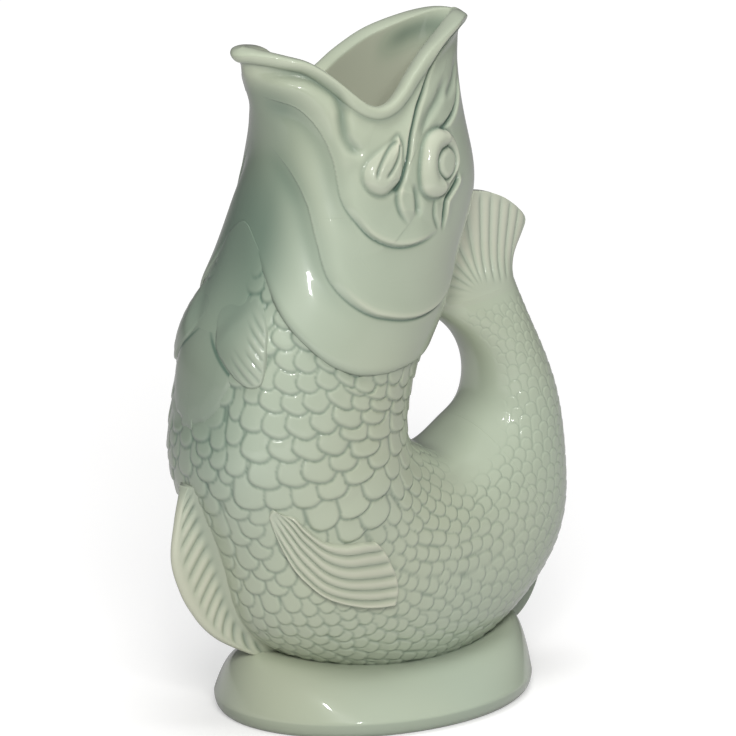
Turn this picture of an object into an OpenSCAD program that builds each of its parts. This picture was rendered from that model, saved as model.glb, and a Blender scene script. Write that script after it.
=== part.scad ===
// Gurgle jug in the shape of a fish standing on its belly, its tail curled up
// behind as the handle. Millimetres, +Z up, the spout points to -X, the handle
// to +X. The foot stands on Z = 0 and the foot is centred on the origin.

/* [Jug] */
// Height of the jug, from the table to the tip of the upper jaw
jug_h = 250; // [200:5:320]
// Scale of the body front to back; the belly and tail together reach about this far
jug_len = 160; // [145:5:190]
// Width of the belly from side to side
belly_w = 76; // [68:2:92]
// Thickness of the fired clay wall
wall_t = 5; // [4:0.5:6]

/* [Foot] */
// Length of the foot at its edge, front to back
foot_len = 123; // [118:1:140]
// Width of the foot at its edge, side to side
foot_w = 97; // [84:1:120]
// Height of the widest line of the foot above the table
foot_edge_h = 6; // [5:0.5:8]
// Width of the flat ring that the jug stands on
foot_ring_w = 5; // [4:0.5:6]

/* [Fins] */
// Width of the tail fan's edge, side to side
fan_edge_t = 4.4; // [3.6:0.2:6]
// Reach of the keel fin out from the belly
keel_reach = 17.5; // [12:0.5:20]
// Thickness of the keel fin where it leaves the belly
keel_t = 7; // [5:0.5:9]
// Thickness of the keel fin along its free edge
keel_edge_t = 3.6; // [3:0.2:4.6]
// Thickness of the small web under the tail
web_t = 6; // [5:0.5:8]
// Reach of the web out from the tail
web_reach = 5; // [3:0.5:6]
// Height of the pectoral fins above the belly
pectoral_h = 3; // [2:0.25:4]
// Height of the pelvic fins above the belly
pelvic_h = 3; // [2:0.25:4]

/* [Face] */
// Height of the bulging eyes above the cheek
eye_h = 4; // [3:0.25:5.5]
// Height of the leaf at the corner of the mouth
jaw_leaf_h = 3; // [2:0.25:4]
// Height of the cheek plates above the head
cheek_h = 1.6; // [1.2:0.1:2.2]
// Step of the gill cover above the scaled belly
gill_step = 1.6; // [1:0.1:2.4]

/* [Fit] */
// Film of glaze between a laid-on piece and the clay under it
seat_gap = 0.15; // [0.1:0.05:0.25]

/* [Detail] */
// Number of faces around the body
round_n = 64; // [48:8:72]

/* [Hidden] */

clay = [0.70, 0.75, 0.66];
clay_pale = [0.76, 0.79, 0.69];

// Sections of the fish, from the mouth down the belly and up the tail. Each row
// holds shares of jug_len and jug_h for the outer rail, the same for the inner
// rail, the half width as a share of belly_w, and the squareness of the section.
// A place along the fish, its station, is counted in these rows: 0 is the mouth.
section_shares = [
    [-0.372, 0.986, 0.247, 1.0, 0.276, 1.6],
    [-0.328, 0.924, 0.209, 0.94, 0.329, 1.85],
    [-0.306, 0.848, 0.219, 0.844, 0.395, 2.0],
    [-0.334, 0.76, 0.231, 0.76, 0.447, 2.1],
    [-0.388, 0.664, 0.184, 0.676, 0.474, 2.1],
    [-0.463, 0.576, 0.141, 0.6, 0.487, 2.1],
    [-0.494, 0.48, 0.081, 0.536, 0.5, 2.1],
    [-0.503, 0.376, 0.044, 0.468, 0.5, 2.1],
    [-0.428, 0.252, 0.036, 0.411, 0.5, 2.2],
    [-0.35, 0.136, 0.087, 0.378, 0.48, 2.3],
    [-0.084, 0.052, 0.139, 0.361, 0.447, 2.4],
    [0.216, 0.058, 0.188, 0.37, 0.395, 2.4],
    [0.447, 0.172, 0.228, 0.396, 0.349, 2.2],
    [0.497, 0.304, 0.263, 0.421, 0.283, 2.1],
    [0.478, 0.424, 0.266, 0.469, 0.224, 2.1],
    [0.419, 0.524, 0.22, 0.522, 0.178, 2.1],
    [0.378, 0.592, 0.129, 0.567, 0.118, 2.1]];

last = len(section_shares) - 1;
angle_step = 360 / round_n;

// Stations of the mouth's rim every 15 degrees, from the spout to the back
rim_shares = [0.04, 0, 0.05, 0.23, 0.74, 1.33, 1.24, 0.87, 0.47, 0.2, 0.03, 0.09, 0.17];
// Stations of the gill cover's edge every 15 degrees, from the throat to the back
gill_shares = [3.05, 3.62, 4.04, 4.48, 4.93, 5.33, 5.67, 5.83, 5.89, 5.9, 5.85, 5.75, 5.7];
table_angle = 15;

// Stations where the barrel of the belly meets its base, and the base the tail
base_start_share = 8;
tail_start_share = 12;
// Stations of the head's back where the tail fan begins and ends
fan_foot_share = 5.2;
fan_top_share = 3.35;

// Smooth curve through four values, for numbers and for rows alike
function blend(a, b, c, d, f) =
    0.5 * (2 * b + (c - a) * f + (2 * a - 5 * b + 4 * c - d) * f * f
    + (3 * b - a - 3 * c + d) * f * f * f);

// Smooth value of a table at the place u, counted in rows
function along(table, u) =
    let (m = len(table) - 1,
         i = max(0, min(floor(u), m - 1)),
         a = i == 0 ? 2 * table[0] - table[1] : table[i - 1],
         d = i == m - 1 ? 2 * table[m] - table[m - 1] : table[i + 2])
    blend(a, table[i], table[i + 1], d, u - i);

// Value of a station table at an angle, the same on both sides
function around(table, th) =
    let (a = abs(th > 180 ? th - 360 : th))
    along(table, a / table_angle);

function ease(x) = let (c = max(0, min(1, x))) c * c * (3 - 2 * c);

function section(s) =
    let (r = along(section_shares, s))
    [r[0] * jug_len, r[1] * jug_h, r[2] * jug_len, r[3] * jug_h, r[4] * belly_w, r[5]];

// Point of the fish's skin at station s and angle th, lifted by out.
// The angle is 0 on the outer rail, 90 on the -Y side, 180 on the inner rail.
function skin(s, th, out) =
    let (r = section(s),
         hx = (r[0] - r[2]) / 2,
         hz = (r[1] - r[3]) / 2,
         g = 1 + out / norm([hx, hz]),
         c = cos(th),
         q = sin(th),
         cc = sign(c) * pow(abs(c), 2 / r[5]),
         qq = sign(q) * pow(abs(q), 2 / r[5]))
    [(r[0] + r[2]) / 2 + hx * g * cc, -(r[4] + out) * qq, (r[1] + r[3]) / 2 + hz * g * cc];

function angles() = [for (j = [0 : round_n - 1]) (j + 0.5) * angle_step];

// Ring of the skin between two station tables, f = 0 on the first, 1 on the second
function ring_between(ta, tb, f, out) =
    [for (th = angles()) skin(around(ta, th) * (1 - f) + around(tb, th) * f, th, out)];

function ring_at(s, out) = [for (th = angles()) skin(s, th, out)];

// Faces of a skin of rows, each row a closed loop of n points
function wall_faces(m, n, wrap) =
    [for (i = [0 : (wrap ? m - 1 : m - 2)])
        for (j = [0 : n - 1])
            let (a = i * n + j,
                 b = i * n + (j + 1) % n,
                 c = ((i + 1) % m) * n + (j + 1) % n,
                 d = ((i + 1) % m) * n + j)
            for (t = [[a, c, b], [a, d, c]]) t];

// Faces that close a loop by joining its two halves across, first = index of its first point
function lid_faces(first, n, up) =
    [for (j = [0 : n / 2 - 2])
        let (a = first + j,
             b = first + j + 1,
             c = first + n - 2 - j,
             d = first + n - 1 - j)
        for (t = up ? [[a, c, b], [a, d, c]] : [[a, b, c], [a, c, d]]) t];

// Solid whose rows run round in both directions, like a thick-walled sleeve
module sleeve(rows) {
    n = len(rows[0]);
    polyhedron([for (r = rows) for (p = r) p], wall_faces(len(rows), n, true));
}

// Solid of closed rows with a lid on its first and on its last row
module plug(rows) {
    n = len(rows[0]);
    m = len(rows);
    polyhedron([for (r = rows) for (p = r) p],
        concat(wall_faces(m, n, false), lid_faces(0, n, false), lid_faces((m - 1) * n, n, true)));
}

// The head's outer wall swells to the gill cover's step: f = 0 at the rim, 1 at the gill
swell_from_share = 0.45;
function head_lift(f) = gill_step * ease((f - swell_from_share) / (1 - swell_from_share));

// Height of the clay above the plain skin where a laid-on piece sits
function clay_lift(s, th) =
    let (a = around(rim_shares, th),
         b = around(gill_shares, th))
    s < b ? head_lift((s - a) / (b - a)) : 0;

// Height shares over a laid-on piece, full in its middle and low at its rim
rim_height_share = 0.35;
dome_squareness = 3;
dome_fullness = 0.6;
function dome(v) =
    rim_height_share
    + (1 - rim_height_share) * pow(max(0, 1 - pow(abs(2 * v - 1), dome_squareness)), dome_fullness);

// Point of a laid-on piece at the share v of the way from a to b, both [station, angle]
function laid_point(a, b, v, h, side) =
    let (p = a + (b - a) * v)
    skin(p[0], side * p[1], clay_lift(p[0], p[1]) + seat_gap + h);

// One row of a laid-on piece: out along its top and back along its seat
function patch_row(a, b, h, side) =
    concat(
        [for (j = [0 : patch_columns])
            laid_point(a, b, j / patch_columns, h * dome(j / patch_columns), side)],
        [for (j = [patch_columns : -1 : 0]) laid_point(a, b, j / patch_columns, 0, side)]);

// A laid-on piece between two edge curves on the skin, each a table of [station, angle]
patch_rows = 14;
patch_columns = 8;
module laid(edge_a, edge_b, h, side) {
    m = len(edge_a) - 1;
    rows = [for (i = [0 : patch_rows])
        let (u = (side > 0 ? i : patch_rows - i) / patch_rows)
        patch_row(along(edge_a, u * m), along(edge_b, u * m), h * dome(u), side)];
    plug(rows);
}

head_rows = 18;
head_inner_rows = 8;
// Rows of the head lie closer together near the rim
head_row_power = 1.15;
// The rim is a rounded lip: rows across the wall's thickness, and its rise in stations
lip_shares = [0.85, 0.5, 0.15];
lip_rise_share = 0.07;

module head_shell() {
    outer = [for (i = [1 : head_rows])
        let (f = pow(i / head_rows, head_row_power))
        ring_between(rim_shares, gill_shares, f, head_lift(f))];
    edge = [ring_between(rim_shares, gill_shares, 1, 0)];
    inner = [for (i = [head_inner_rows : -1 : 1])
        ring_between(rim_shares, gill_shares, i / head_inner_rows, -wall_t)];
    lip = [for (k = lip_shares)
        [for (th = angles()) skin(around(rim_shares, th) - lip_rise_share * sin(180 * k), th, -wall_t * k)]];
    color(clay) sleeve(concat(outer, edge, inner, lip));
}

barrel_rows = 16;
barrel_inner_rows = 6;

// The barrel of the belly, from under the gill cover down to the base
function barrel_ring(f, out) =
    [for (th = angles())
        skin(around(gill_shares, th) * (1 - f) + base_start_share * f, th, out)];

module belly_shell() {
    outer = [for (i = [0 : barrel_rows]) barrel_ring(i / barrel_rows, 0)];
    inner = [for (i = [barrel_inner_rows : -1 : 0]) barrel_ring(i / barrel_inner_rows, -wall_t)];
    color(clay) sleeve(concat(outer, inner));
}

base_rows = 18;
base_inner_rows = 8;

// The base of the belly, which turns from the barrel back and up into the tail
function base_ring(f, out) = ring_at(base_start_share + (tail_start_share - base_start_share) * f, out);

module belly_base() {
    outer = [for (i = [0 : base_rows]) base_ring(i / base_rows, 0)];
    inner = [for (i = [base_inner_rows : -1 : 0]) base_ring(i / base_inner_rows, -wall_t)];
    color(clay) sleeve(concat(outer, inner));
}

tail_rows = 15;
tail_inner_rows = 7;
// The hollow of the tail stops this many stations below the fan
tail_air_stop_share = 0.7;

module tail_tube() {
    outer = [for (i = [0 : tail_rows]) ring_at(tail_start_share + (last - tail_start_share) * i / tail_rows, 0)];
    inner = [for (i = [tail_inner_rows : -1 : 0])
        ring_at(tail_start_share + (last - tail_air_stop_share - tail_start_share) * i / tail_inner_rows, -wall_t)];
    color(clay) plug(concat(inner, outer));
}

// Rear edge of the tail fan, shares of jug_len and jug_h, from the tail up
fan_edge_shares = [
    [0.378, 0.592], [0.378, 0.604], [0.383, 0.62], [0.392, 0.634], [0.403, 0.648],
    [0.415, 0.66], [0.422, 0.668]];
fan_rows = 10;
// Half width of the fan, from the tail to its edge, as shares of its half width at the tail
fan_width_shares = [1, 0.72, 0.5, 0.38, 0.32, 0.28, 0.25];
fan_bulge_share = 0.028;

module tail_fan() {
    tail_half_w = section(last)[4];
    tail_end = section(last);
    rows = [for (i = [0 : fan_rows])
        let (v = i / fan_rows,
             e = along(fan_edge_shares, v * (len(fan_edge_shares) - 1)),
             at = fan_foot_share + (fan_top_share - fan_foot_share) * v,
             back = skin(at, 180, clay_lift(at, 180) + seat_gap),
             near_x = i == 0 ? tail_end[2] : back[0],
             near_z = i == 0 ? tail_end[3] : back[2],
             far_x = i == 0 ? tail_end[0] : e[0] * jug_len,
             far_z = i == 0 ? tail_end[1] : e[1] * jug_h,
             q = section(last)[5],
             w = i == 0 ? tail_half_w
                 : max(fan_edge_t / 2,
                       tail_half_w * along(fan_width_shares, v * (len(fan_width_shares) - 1))),
             rise = fan_bulge_share * jug_h * v * v)
        [for (th = angles())
            let (c = sign(cos(th)) * pow(abs(cos(th)), 2 / q),
                 s = sign(sin(th)) * pow(abs(sin(th)), 2 / q),
                 lift = rise * (1 - c * c),
                 dx = far_x - near_x,
                 dz = far_z - near_z,
                 len_xz = norm([dx, dz]))
            [(far_x + near_x) / 2 + dx / 2 * c - dz / len_xz * lift,
             -w * s,
             (far_z + near_z) / 2 + dz / 2 * c + dx / len_xz * lift]]];
    color(clay_pale) plug(rows);
}

// Height of the belly's underside at a place x, y, found by halving
function under(s, y, out) =
    let (r = section(s),
         w = r[4] + out,
         c = pow(max(0, 1 - pow(abs(y) / w, r[5])), 1 / r[5]),
         hx = (r[0] - r[2]) / 2,
         hz = (r[1] - r[3]) / 2,
         g = 1 + out / norm([hx, hz]))
    [(r[0] + r[2]) / 2 + hx * g * c, y, (r[1] + r[3]) / 2 + hz * g * c];
function seat_point(x, y, lo, hi, k) =
    let (mid = (lo + hi) / 2, p = under(mid, y, seat_gap))
    k == 0 ? [x, y, p[2]] : p[0] < x ? seat_point(x, y, mid, hi, k - 1) : seat_point(x, y, lo, mid, k - 1);
seat_from_share = 8.2;
seat_to_share = 12;
seat_steps = 18;

// Oval of contact between belly and foot: centre and half length as shares of
// jug_len, half width as a share of belly_w, outer edge first, inner edge second
contact_shares = [[0.028, 0.312, 0.303], [0.028, 0.262, 0.21]];
foot_rows = 7;
seat_rows = 4;
// Fullness of the foot's flank at its ends and at its sides
flank_ends = 4.3;
flank_sides = 2;
// Roundness of the foot's lower edge, shares of foot_edge_h: inset and height
edge_round_shares = [[0.08, 0.45], [0.33, 0.13]];
edge_flat_share = 0.65;
// Inner face of the foot: shares of the way from the flat ring up to the contact
skirt_wall_shares = [[0.12, 0.22], [0.36, 0.5], [0.66, 0.8]];
// The foot is drawn this far below the table and ground flat at Z = 0
foot_grind = 0.5;

module foot_plinth() {
    function oval(ax, ay, cx, ph) = [cx + ax * cos(ph), -ay * sin(ph)];
    function contact(v, ph) =
        let (o = contact_shares[0] * (1 - v) + contact_shares[1] * v,
             p = oval(o[1] * jug_len, o[2] * belly_w, o[0] * jug_len, ph))
        seat_point(p[0], p[1], seat_from_share, seat_to_share, seat_steps);
    function edge(inset, z, ph) =
        let (p = oval(foot_len / 2 - inset, foot_w / 2 - inset, 0, ph)) [p[0], p[1], z];
    // The line from a point above through one on the table, run on to the ground depth
    function below(above, flat) = above + (flat - above) * (above[2] + foot_grind) / above[2];
    flank = [for (i = [0 : foot_rows])
        let (k = i / foot_rows)
        [for (ph = angles())
            let (c = contact(0, ph),
                 e = edge(0, foot_edge_h, ph),
                 p = flank_sides + (flank_ends - flank_sides) * cos(ph) * cos(ph),
                 m = 1 - pow(k, p))
            [c[0] * (1 - k) + e[0] * k, c[1] * (1 - k) + e[1] * k, e[2] + (c[2] - e[2]) * m]]];
    rounding = [for (r = edge_round_shares)
        [for (ph = angles()) edge(r[0] * foot_edge_h, r[1] * foot_edge_h, ph)]];
    ring_inset = edge_flat_share * foot_edge_h;
    skirt = [for (r = skirt_wall_shares)
        [for (ph = angles())
            let (e = edge(ring_inset + foot_ring_w, 0, ph),
                 c = contact(1, ph))
            [e[0] + (c[0] - e[0]) * r[0], e[1] + (c[1] - e[1]) * r[0], c[2] * r[1]]]];
    n = round_n;
    flat = [
        [for (j = [0 : n - 1]) below(rounding[1][j], edge(ring_inset, 0, angles()[j]))],
        [for (j = [0 : n - 1]) below(skirt[0][j], edge(ring_inset + foot_ring_w, 0, angles()[j]))]];
    seat = [for (i = [seat_rows : -1 : 1]) [for (ph = angles()) contact(i / seat_rows, ph)]];
    color(clay) difference() {
        sleeve(concat(flank, rounding, flat, skirt, seat));
        translate([-foot_len, -foot_w, -2 * foot_grind])
            cube([2 * foot_len, 2 * foot_w, 2 * foot_grind]);
    }
}

// A thin fin standing in the middle plane on the outer rail, between two stations
fin_across = 5;
fin_rows = 20;
module blade(from, to, reach_shares, reach, thick, edge_thick) {
    rows = [for (i = [0 : fin_rows])
        let (u = i / fin_rows,
             r = section(from + (to - from) * u),
             d = [r[0] - r[2], r[1] - r[3]] / norm([r[0] - r[2], r[1] - r[3]]),
             h = reach * along(reach_shares, u * (len(reach_shares) - 1)))
        concat(
            [for (k = [0 : fin_across])
                let (f = k / fin_across)
                [r[0] + d[0] * (seat_gap + h * f), -(thick + (edge_thick - thick) * f) / 2,
                 r[1] + d[1] * (seat_gap + h * f)]],
            [for (k = [fin_across : -1 : 0])
                let (f = k / fin_across)
                [r[0] + d[0] * (seat_gap + h * f), (thick + (edge_thick - thick) * f) / 2,
                 r[1] + d[1] * (seat_gap + h * f)]])];
    plug(rows);
}

keel_top_share = 7.05;
keel_foot_share = 9.15;
keel_reach_shares = [0.1, 0.5, 0.9, 1, 0.9, 0.75, 0.5, 0.15];
module keel_fin() {
    color(clay_pale)
        blade(keel_top_share, keel_foot_share, keel_reach_shares, keel_reach, keel_t, keel_edge_t);
}

web_foot_share = 11.62;
web_top_share = 12.1;
web_reach_shares = [0.3, 0.8, 1, 0.7, 0.3];
module rear_web() {
    color(clay) blade(web_foot_share, web_top_share, web_reach_shares, web_reach, web_t, web_t);
}

// Edges of the pectoral fin: lower and upper, each row [station, angle]
pectoral_low_shares = [[7.46, 44], [7.82, 45.5], [8.34, 52], [8.78, 60], [9.2, 68.5], [9.6, 78]];
pectoral_high_shares = [[7.44, 54], [7.6, 60], [7.92, 66.5], [8.18, 76], [8.4, 86], [8.62, 91.5]];
module pectoral_fin(side) {
    color(clay_pale) laid(pectoral_low_shares, pectoral_high_shares, pectoral_h, side);
}
module pectoral_fin_left() {
    pectoral_fin(1);
}
module pectoral_fin_right() {
    pectoral_fin(-1);
}

// Edges of the pelvic fin: front and rear, each row [station, angle]
pelvic_front_shares = [[3.96, 7], [4.45, 5.5], [4.95, 5.5], [5.4, 5.5], [5.85, 5.5], [6.22, 9]];
pelvic_rear_shares = [[3.98, 12], [4.4, 29], [4.9, 40], [5.42, 43], [5.84, 28], [6.26, 16]];
module pelvic_fin(side) {
    color(clay_pale) laid(pelvic_front_shares, pelvic_rear_shares, pelvic_h, side);
}
module pelvic_fin_left() {
    pelvic_fin(1);
}
module pelvic_fin_right() {
    pelvic_fin(-1);
}

// An oval piece on the skin: its middle and its half sizes, both [station, angle].
// Its two ends are cut off a little, where the rows would shrink to a point.
oval_end_angle = 8;
module oval_laid(mid, half, h, side) {
    edge = [for (i = [0 : patch_rows])
        let (a = oval_end_angle + (180 - 2 * oval_end_angle) * i / patch_rows)
        [mid[0] - half[0] * cos(a), half[1] * sin(a)]];
    laid([for (e = edge) [e[0], mid[1] - e[1]]], [for (e = edge) [e[0], mid[1] + e[1]]], h, side);
}

eye_middle_share = [2.4, 110.5];
eye_half_share = [0.54, 13.5];
module eye(side) {
    color(clay_pale) oval_laid(eye_middle_share, eye_half_share, eye_h, side);
}
module eye_left() {
    eye(1);
}
module eye_right() {
    eye(-1);
}

leaf_middle_share = [2.27, 77];
leaf_half_share = [0.48, 10];
module jaw_leaf(side) {
    color(clay_pale) oval_laid(leaf_middle_share, leaf_half_share, jaw_leaf_h, side);
}
module jaw_leaf_left() {
    jaw_leaf(1);
}
module jaw_leaf_right() {
    jaw_leaf(-1);
}

// Edges of the cheek plate: upper and lower, each row [station, angle]
cheek_high_shares = [[3.1, 46], [3.1, 60], [3.12, 75], [3.14, 90], [3.14, 105], [3.12, 120], [3.1, 132]];
cheek_low_shares = [[3.34, 46], [3.96, 60], [4.44, 75], [4.76, 90], [4.9, 105], [4.84, 120], [4.52, 132]];
module cheek_plate(side) {
    color(clay) laid(cheek_high_shares, cheek_low_shares, cheek_h, side);
}
module cheek_plate_left() {
    cheek_plate(1);
}
module cheek_plate_right() {
    cheek_plate(-1);
}

foot_plinth();
belly_base();
belly_shell();
head_shell();
tail_tube();
tail_fan();
keel_fin();
rear_web();
pectoral_fin_left();
pectoral_fin_right();
pelvic_fin_left();
pelvic_fin_right();
eye_left();
eye_right();
jaw_leaf_left();
jaw_leaf_right();
cheek_plate_left();
cheek_plate_right();
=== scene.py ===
import math

import bpy
import numpy as np
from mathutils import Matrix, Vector


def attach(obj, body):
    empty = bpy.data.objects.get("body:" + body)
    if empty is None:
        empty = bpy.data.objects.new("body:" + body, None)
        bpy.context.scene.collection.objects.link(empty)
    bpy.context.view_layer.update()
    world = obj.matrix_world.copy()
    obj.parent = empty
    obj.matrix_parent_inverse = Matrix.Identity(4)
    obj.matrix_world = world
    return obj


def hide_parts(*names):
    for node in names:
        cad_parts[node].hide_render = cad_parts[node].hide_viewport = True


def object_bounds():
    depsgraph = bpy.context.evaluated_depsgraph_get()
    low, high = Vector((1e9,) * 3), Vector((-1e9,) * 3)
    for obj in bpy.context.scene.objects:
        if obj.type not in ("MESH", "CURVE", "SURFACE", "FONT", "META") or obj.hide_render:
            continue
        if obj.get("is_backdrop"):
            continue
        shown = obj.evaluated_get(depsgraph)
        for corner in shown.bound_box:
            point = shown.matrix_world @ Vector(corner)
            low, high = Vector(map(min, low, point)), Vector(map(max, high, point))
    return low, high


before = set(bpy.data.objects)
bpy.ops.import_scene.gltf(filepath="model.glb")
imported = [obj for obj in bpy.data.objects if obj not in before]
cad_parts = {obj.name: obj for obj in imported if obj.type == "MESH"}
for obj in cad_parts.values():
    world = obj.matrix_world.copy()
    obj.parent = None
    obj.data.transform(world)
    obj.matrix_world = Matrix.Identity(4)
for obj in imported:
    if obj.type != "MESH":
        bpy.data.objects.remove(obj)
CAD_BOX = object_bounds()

# The gurgle jug is worked out in millimetres and scaled to metres when its meshes are made.
# Places on its skin are a station, counted along the sections, and an angle round them.
MM = 0.001
BODY = "root"
JUG_L, JUG_H, BELLY_W, WALL = 160, 250, 76, 5

# Sections of the fish from the mouth down the belly and up the tail: the outer rail, the
# inner rail, the half width and the squareness of the section, as in the part's source.
SECTIONS = np.array([
    [-0.372, 0.986, 0.247, 1, 0.276, 1.6], [-0.328, 0.924, 0.209, 0.94, 0.329, 1.85],
    [-0.306, 0.848, 0.219, 0.844, 0.395, 2], [-0.334, 0.76, 0.231, 0.76, 0.447, 2.1],
    [-0.388, 0.664, 0.184, 0.676, 0.474, 2.1], [-0.463, 0.576, 0.141, 0.6, 0.487, 2.1],
    [-0.494, 0.48, 0.081, 0.536, 0.5, 2.1], [-0.503, 0.376, 0.044, 0.468, 0.5, 2.1],
    [-0.428, 0.252, 0.036, 0.411, 0.5, 2.2], [-0.35, 0.136, 0.087, 0.378, 0.48, 2.3],
    [-0.084, 0.052, 0.139, 0.361, 0.447, 2.4], [0.216, 0.058, 0.188, 0.37, 0.395, 2.4],
    [0.447, 0.172, 0.228, 0.396, 0.349, 2.2], [0.497, 0.304, 0.263, 0.421, 0.283, 2.1],
    [0.478, 0.424, 0.266, 0.469, 0.224, 2.1], [0.419, 0.524, 0.22, 0.522, 0.178, 2.1],
    [0.378, 0.592, 0.129, 0.567, 0.118, 2.1]]) * [JUG_L, JUG_H, JUG_L, JUG_H, BELLY_W, 1]
LAST = len(SECTIONS) - 1
# where the tail's piece takes over from the belly's, and where the fan takes over from the tail
TAIL_START = 12
MEET = LAST - 0.14


def ease(x):
    """0 up to x = 0, 1 from x = 1 on, and smooth between them."""
    c = np.clip(x, 0, 1)
    return c * c * (3 - 2 * c)


def ramp(x, start, width):
    """Rises smoothly from 0 at start to 1 a width further on."""
    return ease((x - start) / width)


def fall(x, start, width):
    """Falls smoothly from 1 at start to 0 a width further on."""
    return 1 - ease((x - start) / width)


def arc(x):
    """Height of a quarter circle: 1 at x = 0 and 0 from x = 1 on."""
    return np.sqrt(np.clip(1 - x ** 2, 0, 1))


def bend_of(table):
    """Second differences of the natural cubic spline through the rows of a table."""
    n = len(table)
    a = np.eye(n)
    b = np.zeros_like(table)
    for i in range(1, n - 1):
        a[i, i - 1:i + 2] = [1, 4, 1]
        b[i] = 6 * (table[i + 1] - 2 * table[i] + table[i - 1])
    return np.linalg.solve(a, b)


SECTION_BEND = bend_of(SECTIONS)


def section(s):
    """Row of SECTIONS at station s, on a smooth curve through the rows."""
    i = np.clip(np.floor(s).astype(int), 0, LAST - 1)
    f = (s - i)[..., None]
    g = 1 - f
    return (g * SECTIONS[i] + f * SECTIONS[i + 1]
            + ((g ** 3 - g) * SECTION_BEND[i] + (f ** 3 - f) * SECTION_BEND[i + 1]) / 6)


def across_rails(r, out, c):
    """x and z at the share c of the way from the middle of sections r to the outer rail."""
    hx, hz = (r[..., 0] - r[..., 2]) / 2, (r[..., 1] - r[..., 3]) / 2
    g = 1 + out / np.hypot(hx, hz)
    return (r[..., 0] + r[..., 2]) / 2 + hx * g * c, (r[..., 1] + r[..., 3]) / 2 + hz * g * c


def skin(s, th, out=0):
    """Point of the skin at station s and angle th: 0 the outer rail, 90 the -Y side."""
    s, th = np.broadcast_arrays(np.asarray(s, float), np.asarray(th, float))
    r = section(s)
    c, q = (np.sign(v) * np.abs(v) ** (2 / r[..., 5])
            for v in (np.cos(np.radians(th)), np.sin(np.radians(th))))
    x, z = across_rails(r, out, c)
    return np.stack([x, -(r[..., 4] + out) * q, z], -1)


def unit(v):
    return v / np.maximum(np.linalg.norm(v, axis=-1, keepdims=True), 1e-9)


def surface(s, th):
    """Points of the skin, their outward normals and the direction of growing station."""
    s, th = np.broadcast_arrays(np.asarray(s, float), np.asarray(th, float))
    p = skin(s, th)
    ds = skin(np.minimum(s + 0.01, LAST), th) - skin(np.maximum(s - 0.01, 0), th)
    dt = skin(s, th + 0.4) - skin(s, th - 0.4)
    n = unit(np.cross(ds, dt))
    x, z = across_rails(section(s), 0, 0)
    mid = np.stack([x, 0 * s, z], -1)
    flip = np.sign((n * (p - mid)).sum(-1, keepdims=True))
    return p, n * np.where(flip == 0, 1, flip), unit(ds)


def along(table, u):
    """Smooth value of a table at the place u, counted in rows."""
    t = np.asarray(table, float)
    m = len(t) - 1
    u = np.asarray(u, float)
    i = np.clip(np.floor(u).astype(int), 0, m - 1)
    e = np.concatenate([[2 * t[0] - t[1]], t, [2 * t[m] - t[m - 1]]])
    a, b, c, d = e[i], e[i + 1], e[i + 2], e[i + 3]
    f = (u - i)[..., None] if t.ndim > 1 else u - i
    return 0.5 * (2 * b + (c - a) * f + (2 * a - 5 * b + 4 * c - d) * f * f
                  + (3 * b - a - 3 * c + d) * f ** 3)


def by_angle(pairs, blur):
    """A smooth function of the angle from [angle, value] pairs, the same on both sides."""
    grid = np.arange(0, 180.25, 0.5)
    v = np.interp(grid, [p[0] for p in pairs], [p[1] for p in pairs])
    k = np.exp(-0.5 * (np.arange(-40, 41) * 0.5 / blur) ** 2)
    v = np.convolve(np.pad(v, 40, "reflect"), k / k.sum(), "valid")
    return lambda th: np.interp(np.abs((np.asarray(th, float) + 180) % 360 - 180), grid, v)


def distance2(a, b):
    """Squared distances from each point of a to each point of b."""
    return (a ** 2).sum(1)[:, None] + (b ** 2).sum(1)[None] - 2 * a @ b.T


# the mouth's rim and the gill cover's edge: the station at each angle
rim_at = by_angle([
    (0, 0.04), (20, 0), (30, 0.05), (36, 0.11), (42, 0.19), (48, 0.28), (54, 0.49), (60, 0.75),
    (66, 1.03), (72, 1.27), (78, 1.36), (84, 1.33), (90, 1.235), (96, 1.11), (102, 0.94),
    (108, 0.79), (114, 0.62), (120, 0.47), (126, 0.36), (132, 0.25), (138, 0.15), (144, 0.07),
    (150, 0.02), (156, 0.03), (162, 0.07), (169, 0.125), (180, 0.14)], 2.2)
gill_at = by_angle([
    (0, 3.26), (7, 3.44), (17, 3.7), (30, 4.1), (44, 4.54), (59, 4.96), (73, 5.36), (88, 5.66),
    (102, 5.8), (121, 5.86), (134, 5.88), (150, 5.82), (180, 5.72)], 4)


# ---- distances to curves drawn on the skin
class Trace:
    """A curve on the skin through [station, angle] points, sampled finely."""

    def __init__(self, points, n=260, closed=False):
        pts = points + points[:1] if closed else points
        st = along(pts, np.linspace(0, len(pts) - 1, n))
        self.st = st
        self.p, self.n, _ = surface(st[:, 0], st[:, 1])
        self.dir = unit(np.gradient(self.p, axis=0))
        step = np.linalg.norm(np.diff(self.p, axis=0), axis=1)
        self.len = np.concatenate([[0], np.cumsum(step)])

    def near(self, p, reach):
        """Distance to the curve, place along it from 0 to 1, and on which side, within reach."""
        q = p.reshape(-1, 3)
        d = np.full(len(q), 1e3)
        t = np.zeros(len(q))
        side = np.ones(len(q))
        lo, hi = self.p.min(0) - reach, self.p.max(0) + reach
        pick = np.flatnonzero(((q > lo) & (q < hi)).all(1))
        for k in range(0, len(pick), 20000):
            i = pick[k:k + 20000]
            j = distance2(q[i], self.p).argmin(1)
            off = q[i] - self.p[j]
            d[i] = np.sqrt(np.maximum((off ** 2).sum(1), 0))
            t[i] = self.len[j] / self.len[-1]
            side[i] = np.sign((np.cross(self.dir[j], off) * self.n[j]).sum(1) + 1e-12)
        return tuple(v.reshape(p.shape[:-1]) for v in (d, t, side))


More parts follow.
